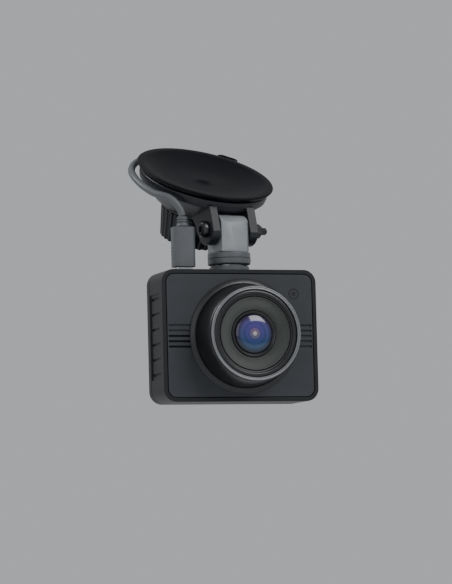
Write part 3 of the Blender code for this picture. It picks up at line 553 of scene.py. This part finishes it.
def coated_glass():
    """Coated glass with painted light: the coating's dark blue and violet change ring by ring from the axis,
    with a painted warm highlight at the centre, painted reflections of the inner lens rings, and a painted
    reflection that shades it teal towards the bottom and magenta towards the top, all under a clear gloss.
    """
    made = material("coated_glass", (0.02, 0.02, 0.08), 0.10, Coat_Weight=0.4, IOR=1.5)
    tree = made.node_tree
    nodes, links = tree.nodes, tree.links
    flat, far = from_lens_axis(made, 125)
    ramp = nodes.new("ShaderNodeValToRGB")
    # Ring colours: the warm pale centre is a painted highlight, and the lighter violet and blue rings are
    # painted reflections of the inner lens rings over the coating's dark blue.
    stops = [
        (0.0, (0.60, 0.50, 0.44)), (0.09, (0.42, 0.34, 0.33)), (0.15, (0.10, 0.07, 0.12)),
        (0.22, (0.16, 0.12, 0.20)), (0.30, (0.05, 0.035, 0.14)), (0.44, (0.045, 0.05, 0.20)),
        (0.56, (0.025, 0.035, 0.13)), (0.70, (0.045, 0.06, 0.17)), (0.86, (0.018, 0.018, 0.06)),
        (1.0, (0.006, 0.006, 0.012)),
    ]
    elements = ramp.color_ramp.elements
    while len(elements) < len(stops):
        elements.new(0.5)
    for element, (at, colour) in zip(elements, stops):
        element.position = at
        element.color = (*colour, 1)
    links.new(far.outputs["Value"], ramp.inputs["Fac"])
    height = nodes.new("ShaderNodeSeparateXYZ")
    links.new(flat.outputs["Vector"], height.inputs["Vector"])
    upward = nodes.new("ShaderNodeMapRange")
    upward.inputs["From Min"].default_value = -0.5
    upward.inputs["From Max"].default_value = 0.5
    links.new(height.outputs["Z"], upward.inputs["Value"])
    # Painted reflection: this ramp shifts the glass teal towards the bottom and magenta towards the top.
    tone_and_painted_reflection = nodes.new("ShaderNodeValToRGB")
    tone_and_painted_reflection.color_ramp.elements[0].color = (0.30, 0.85, 0.75, 1)
    tone_and_painted_reflection.color_ramp.elements[1].color = (1.25, 0.85, 1.15, 1)
    links.new(upward.outputs["Result"], tone_and_painted_reflection.inputs["Fac"])
    both = nodes.new("ShaderNodeVectorMath")
    both.operation = "MULTIPLY"
    links.new(ramp.outputs["Color"], both.inputs[0])
    links.new(tone_and_painted_reflection.outputs["Color"], both.inputs[1])
    links.new(both.outputs["Vector"], nodes["Principled BSDF"].inputs["Base Color"])
    return made


def make_lens():
    def part(name, profile, finish, stands_for, slot, soften=0.0):
        shape = facing_front(turned(profile, 160), LENS_X, FRONT, LENS_Z)
        on_camera(name, shape, finish, stands_for, slot, soften, 25, 2)

    root = BARREL_ROOT
    part(
        "flare_ring",
        [
            (root + 0.0001, GAP), (0.0235, GAP), (0.0236, 0.0004), (0.0232, 0.0008), (0.0225, 0.0011),
            (0.0219, 0.00148), (root + 0.0001, 0.00149),
        ],
        BARREL, ["lens_flare_ring"], "case_black",
    )
    part(
        "barrel",
        [
            (0.0170, -0.0010), (root, -0.0010), (root, 0.0012), (0.02125, 0.0018), (0.0211, 0.0023),
            (0.0203, 0.0080), (0.0196, 0.0130), (0.01945, 0.01345), (0.0192, 0.0137), (0.0170, 0.0137),
        ],
        BARREL, ["lens_barrel"], "case_black",
    )
    part(
        "rim_outer",
        [
            (0.0187, RIM - 0.0010), (0.0191, RIM - 0.0010), (0.0192, RIM - 0.0006),
            *arc(0.0189, RIM - 0.0003, 0.0003, 0, 90), (0.01855, RIM - 0.0001), (0.01855, RIM - 0.0010),
        ],
        SILVER, ["trim_ring"], "trim_silver",
    )
    part("rim_inner", [
        (0.0179, RIM - 0.0010), (0.01845, RIM - 0.0010), (0.01845, RIM - 0.00018), (0.0182, RIM - 0.00012),
        (0.01795, RIM - 0.0003), (0.0179, RIM - 0.0005),
    ], SILVER, [], "trim_silver")
    part(
        "lock_ring",
        [
            (0.0152, RIM - 0.0042), (0.0175, RIM - 0.0013), (0.0176, RIM - 0.0009), (0.0172, RIM - 0.0006),
            (0.0164, RIM - 0.0006), (0.0161, RIM - 0.0008), (0.0159, RIM - 0.0013), (0.0153, RIM - 0.0014),
            (0.0152, RIM - 0.0016),
        ],
        DARK_RING, ["retaining_ring"], "case_black",
    )
    cone = [(0.0096, RIM - 0.0042), (0.0149, RIM - 0.0042), (0.0149, RIM - 0.0013)]
    ribs = 11
    for k in range(ribs):
        share = k / ribs
        radius = 0.0147 - 0.0050 * share
        height = RIM - 0.0012 - 0.0018 * share
        cone += [
            (radius, height), (radius - 0.00012, height - 0.00002), (radius - 0.00016, height - 0.00026),
        ]
    cone += [(0.0096, RIM - 0.0032)]
    part("ribbed_cone", cone, BAFFLE, ["baffle_cone"], "baffle_grey")
    part("glass_bezel", [
        (0.0080, RIM - 0.0052), (0.0095, RIM - 0.0052), (0.0095, RIM - 0.0033), (0.00945, RIM - 0.0027),
        (0.0091, RIM - 0.0024), (0.0087, RIM - 0.0026), (0.0084, RIM - 0.0030), (0.0081, RIM - 0.0032),
    ], DARK_RING, ["lens_bezel"], "case_black")
    dome = []
    for k in range(32):
        angle = math.pi * k / 64
        dome.append((0.0080 * math.cos(angle), RIM - 0.0033 + 0.0016 * math.sin(angle)))
    part("front_glass", [
        (0, RIM - 0.0038), (0.0045, RIM - 0.0040), (0.0080, RIM - 0.0044), *dome, (0, RIM - 0.0017),
    ], coated_glass(), ["front_lens"], "lens_glass")


# Plug, keys and other small pieces on the camera.

def make_plug():
    place = CAMERA @ Matrix.Translation(PLUG_PLACE)
    shell = extruded(rounded_outline(0.0068, 0.0030, 0.0004, 4), -0.0062, 0.0017)
    made_of("plug_metal", shell, place, "camera", STEEL, ["plug_shell"], "steel", 0.0001)
    body = extruded(rounded_outline(0.0094, 0.0067, 0.0021, 10), 0.0018, 0.0182)
    plug = made_of("plug_body", body, place, "camera", LEAD, ["plug_housing"], "lead_grey", 0.0007, 50, 4)
    for side in (-1, 1):
        for k in range(4):
            groove = block(0.0006, 0.0040, 0.0005, (side * 0.00475, 0, 0.0052 + 0.0014 * k))
            cut_from(plug, groove, place, "grip")
    low = 0.0185
    profile = [(0, low), (0.00265, low), (0.0027, low + 0.0004), (0.0024, low + 0.0008)]
    for k in range(3):
        at = low + 0.0010 + 0.0010 * k
        profile += [
            (0.00235 - 0.00008 * k, at), (0.00235 - 0.00008 * k, at + 0.0005), (0.0019, at + 0.0006),
            (0.0019, at + 0.0009),
        ]
    profile += [(0.0020, low + 0.0040), (0.0019, low + 0.0042), (0, low + 0.0042)]
    made_of("plug_neck", turned(profile, 64), place, "camera", LEAD, ["strain_relief"], "lead_grey")


def make_small_pieces():
    profile = [
        (0, 0.0036), (0.0030, 0.0036), (0.0030, 0.0027), (0.0024, 0.0027), (0.0024, -0.0003),
        (0.0021, -0.0006), (0.0012, -0.0005), (0, -0.0004),
    ]
    for k, z in enumerate(KEY_LEVELS):
        shape = facing_front(turned(profile, 64), KEY_X, BACK, z)
        made_of(f"back_key_{k + 1}", shape, CAMERA, f"key_{k + 1}", KEY, [f"key_{k + 1}"], "key_rubber")
    button = [
        (0, -0.0034), (0.0028, -0.0034), (0.0028, -0.0025), (0.0019, -0.0025), (0.0019, 0.0005),
        (0.0015, 0.0008), (0, 0.0007),
    ]
    shape = along_x(turned(button, 64), *POWER_PLACE)
    made_of("side_power_key", shape, CAMERA, "power_button", KEY, ["power_button"], "key_rubber")
    screw_profile = [
        (0, 0.0075), (0.0009, 0.0075), (0.0009, 0.0009), (0.0017, 0.0009), (0.0017, 0.0004),
        (0.0015, 0.0002), (0.0009, 0.0001), (0, 0.0001),
    ]
    for k, (x, z) in enumerate(SCREW_PLACES):
        middle = (x, BACK, z)
        shape = facing_front(turned(screw_profile, 48), *middle)
        screw = on_camera(f"screw_{k + 1}", shape, BLACK_STEEL, [f"case_screw_{k + 1}"], "steel")
        for wide, tall in ((0.0019, 0.0004), (0.0004, 0.0019)):
            cut_from(screw, block(wide, 0.0012, tall, middle), CAMERA, "cross")
    window = plate(0.0480, 0.0380, 0.0017, BACK - 0.0008, BACK, SCREEN_X)
    on_camera("display_pane", window, WINDOW, ["display_window"], "display_glass", 0.00015, 50)


PLAIN = {
    "friction_washer": STEEL, "swivel_screw": STEEL, "plunger_stem": STEEL, "plunger_spring": STEEL,
    "usb_socket": STEEL, "card_socket": STEEL, "speaker": STEEL, "microphone": STEEL,
    "display_module": STEEL, "inner_lens": WINDOW, "lens_holder": SLATE, "image_sensor": CHIP,
    "sensor_board": BOARD, "main_board": BOARD, "battery": FOIL, "status_light": WINDOW,
    "memory_card": CHIP, "cord_tie": STRAP,
}


def finish_plain_nodes():
    """The CAD pieces whose shape is right keep it, and get their material."""
    for name, finish in PLAIN.items():
        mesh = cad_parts[name].data
        mesh.materials.clear()
        mesh.materials.append(finish)


# The lead: the free stretch, the coil's turns, and the tail to the far plug, on one line.

CORD = 0.003
COIL_X = 0.004
COIL_Z = MIDDLE + 0.0012
COIL_FACE = BACK + 0.0015
COIL_PITCH = CORD + 0.00005
COIL_LAYERS = 5
COIL_ROWS = 6
COIL_MIDDLE = 0.0170

CORD_ROUTE = [
    (-0.0206, -0.0020, 0.0056), (-0.0214, -0.0020, 0.0082), (-0.0227, -0.0017, 0.0103),
    (-0.0241, -0.0009, 0.0121), (-0.0259, 0.0002, 0.0135), (-0.0280, 0.0022, 0.0145),
    (-0.0303, 0.0052, 0.0157), (-0.0320, 0.0076, 0.0174), (-0.0334, 0.0106, 0.0194),
    (-0.0344, 0.0142, 0.0218), (-0.0347, 0.0188, 0.0246), (-0.0338, 0.0242, 0.0274),
    (-0.0308, 0.0304, 0.0308), (-0.0260, 0.0364, 0.0336), (-0.0198, 0.0420, 0.0356),
    (-0.0126, 0.0462, 0.0362), (-0.0052, 0.0488, 0.0338), (0.0016, 0.0496, 0.0284),
    (0.0062, 0.0486, 0.0212), (0.0088, 0.0462, 0.0130), (0.0100, 0.0426, 0.0040), (0.0104, 0.0374, -0.0050),
    (0.0104, 0.0306, -0.0124), (0.0112, 0.0222, -0.0162), (0.0136, 0.0144, -0.0178),
]
TAIL_ROUTE = [
    (-0.0055, -0.0006, -0.0120), (-0.0120, 0.0017, -0.0152), (-0.0175, 0.0035, -0.0150),
    (-0.0218, 0.0039, -0.0116), (-0.0226, 0.0039, -0.0073), (-0.0208, 0.0039, -0.0038),
    (-0.0174, 0.0039, -0.0030),
]


def smooth_line(knots, spacing):
    """Points about spacing apart on the smooth curve through the knots."""
    knots = [Vector(k) for k in knots]
    ends = [knots[0] * 2 - knots[1], *knots, knots[-1] * 2 - knots[-2]]
    points = []
    for before, start, end, after in zip(ends, ends[1:], ends[2:], ends[3:]):
        steps = max(1, round((end - start).length / spacing))
        for k in range(steps):
            t = k / steps
            points.append(0.5 * (
                2 * start + (end - before) * t + (2 * before - 5 * start + 4 * end - after) * t ** 2
                + (3 * start - before - 3 * end + after) * t ** 3
            ))
    return [*points, knots[-1]]


def coil_turns():
    """The coil's line from its outer front turn inwards, layer by layer, clockwise seen from the front."""
    per_turn = 28
    start = math.radians(52)
    points = []
    outer = COIL_MIDDLE + (COIL_LAYERS - 1) / 2 * COIL_PITCH
    front = COIL_FACE + COIL_PITCH / 2
    total = COIL_LAYERS * COIL_ROWS * per_turn
    end_share = (start + math.pi / 2) / math.tau
    for k in range(total - round((1 - end_share) * per_turn) + 1):
        turn = k / per_turn
        layer, within = divmod(turn, COIL_ROWS)
        row = min(within, COIL_ROWS - 1)
        climb = max(0.0, within - (COIL_ROWS - 1))
        if layer >= COIL_LAYERS:
            break
        across = row if int(layer) % 2 == 0 else COIL_ROWS - 1 - row
        depth = layer + (climb if layer < COIL_LAYERS - 1 else 0)
        radius = outer - COIL_PITCH * depth
        angle = start - math.tau * turn
        points.append(
            Vector(
                (
                    COIL_X + radius * math.cos(angle), front + COIL_PITCH * across,
                    COIL_Z + radius * math.sin(angle),
                )
            )
        )
    return points


def make_far_plug():
    """The plug at the far end: a moulded body with grip grooves and a neck, and a hollow metal shell."""
    place = CAMERA @ Matrix.Translation(
        (COIL_X, COIL_FACE + COIL_ROWS * COIL_PITCH + 0.0039, COIL_Z - 0.0030)
    )
    outline = rounded_outline(0.0070, 0.0155, 0.0026, 8)
    shape = remap(extruded(outline, -0.0120, 0.0060), lambda y, z, x: (x, y, z))
    body = made_of(
        "far_plug_grip", shape, place, "camera", LEAD, ["far_plug_body"], "lead_grey", 0.0006, 50, 3,
    )
    for side in (-1, 1):
        for k in range(5):
            cut_from(
                body, block(0.0006, 0.0007, 0.0100, (-0.0078 + 0.0016 * k, side * 0.0036, 0)), place,
                "grip",
            )
    neck = [
        (0, -0.0166), (0.0019, -0.0166), (0.0021, -0.0163), (0.0028, -0.0122), (0.0028, -0.0119),
        (0, -0.0119),
    ]
    neck = made_of("far_plug_neck", along_x(turned(neck, 48)), place, "camera", LEAD, [], "lead_grey")
    outline = rounded_outline(0.0045, 0.0120, 0.0005, 4)
    shape = remap(extruded(outline, 0.0063, 0.0247), lambda y, z, x: (x, y, z))
    shell = made_of("far_plug_metal", shape, place, "camera", STEEL, ["far_plug_shell"], "steel", 0.00012)
    cut_from(shell, block(0.0130, 0.0039, 0.0114, (0.0193, 0, 0)), place, "mouth")
    for side in (-1, 1):
        for level in (-1, 1):
            cut_from(
                shell, block(0.0022, 0.0012, 0.0022, (0.0188, side * 0.0022, level * 0.0029)), place,
                "window",
            )
    tongue = block(0.0118, 0.0017, 0.0108, (0.0184, 0.0010, 0))
    tongue = made_of("far_plug_tongue", tongue, place, "camera", CASE, [], "steel", 0.0002)
    return [body, neck, shell, tongue]


def make_lead():
    back = COIL_FACE + COIL_ROWS * COIL_PITCH
    tail = [(COIL_X + x, back + y, COIL_Z + z) for x, y, z in TAIL_ROUTE]
    turns = coil_turns()
    approach = turns[0] + (turns[0] - turns[1]).normalized() * 0.004 + Vector((0, 0.0008, 0))
    lead_in = smooth_line([*CORD_ROUTE, approach, turns[0]], 0.0018)[:-1]
    lead_out = smooth_line([turns[-1], *tail], 0.0018)[1:]
    line = [CAMERA @ Vector(p) for p in [*lead_in, *turns, *lead_out]]
    curve = bpy.data.curves.new("power_lead", "CURVE")
    curve.dimensions = "3D"
    curve.bevel_depth = CORD / 2
    curve.bevel_resolution = 4
    curve.use_fill_caps = True
    spline = curve.splines.new("POLY")
    spline.points.add(len(line) - 1)
    for point, place in zip(spline.points, line):
        point.co = (*place, 1)
    spline.use_smooth = True
    curve.materials.append(LEAD)
    lead = bpy.data.objects.new("power_lead", curve)
    bpy.context.scene.collection.objects.link(lead)
    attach(lead, "camera")
    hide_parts("cord_run", "cord_coil", "cord_tail")
    make_far_plug()


# The studio: the viewing direction, a pale floor, soft light.

RIGHT = Vector((0.944, -0.328, -0.026)).normalized()
TOWARD = Vector((-0.329, -0.940, -0.0906)).normalized()
UP = TOWARD.cross(RIGHT).normalized()
CAMERA_DISTANCE = 1.3
PICTURE_HEIGHT = 0.2453
SENSOR = 36
FLOOR_LEVEL = -0.30
LIGHT_AIM = Vector((0, -0.01, -0.06))


def make_camera():
    data = bpy.data.cameras.new("view")
    data.sensor_width = SENSOR
    data.lens = SENSOR * CAMERA_DISTANCE / PICTURE_HEIGHT
    data.clip_start = 0.05
    made = bpy.data.objects.new("view", data)
    aim = RIGHT * 0.00853 - UP * 0.0500
    place = aim + TOWARD * CAMERA_DISTANCE
    axes = Matrix((RIGHT, UP, TOWARD)).transposed().to_4x4()
    made.matrix_world = Matrix.Translation(place) @ axes
    bpy.context.scene.collection.objects.link(made)
    bpy.context.scene.camera = made


def area_light(name, place, size, power):
    data = bpy.data.lights.new(name, "AREA")
    data.size = size
    data.energy = power
    made = bpy.data.objects.new(name, data)
    made.location = place
    made.rotation_euler = (LIGHT_AIM - Vector(place)).to_track_quat("-Z", "Y").to_euler()
    bpy.context.scene.collection.objects.link(made)


def make_studio():
    world = bpy.data.worlds.new("studio")
    world.use_nodes = True
    world.node_tree.nodes["Background"].inputs["Color"].default_value = (0.80, 0.82, 0.84, 1)
    world.node_tree.nodes["Background"].inputs["Strength"].default_value = 0.55
    bpy.context.scene.world = world
    shape = bmesh.new()
    bmesh.ops.create_grid(shape, x_segments=1, y_segments=1, size=3.0)
    mesh = bpy.data.meshes.new("floor")
    shape.to_mesh(mesh)
    shape.free()
    mesh.materials.append(material("floor_pale", (0.72, 0.73, 0.74), 0.8))
    floor = bpy.data.objects.new("floor", mesh)
    floor.location = (0, 0, FLOOR_LEVEL)
    bpy.context.scene.collection.objects.link(floor)
    area_light("key", (0.55, -0.95, 0.75), 0.70, 9.5)
    area_light("rim", (-0.75, 0.30, 0.60), 0.45, 5.0)
    area_light("fill", (-0.75, -0.95, 0.30), 0.90, 2.2)


make_camera()
make_lead()
make_cup()
make_housing()
make_knob()
make_bolt()
make_knuckle()
make_case()
make_panel()
make_lens()
make_plug()
make_small_pieces()
finish_plain_nodes()
make_studio()
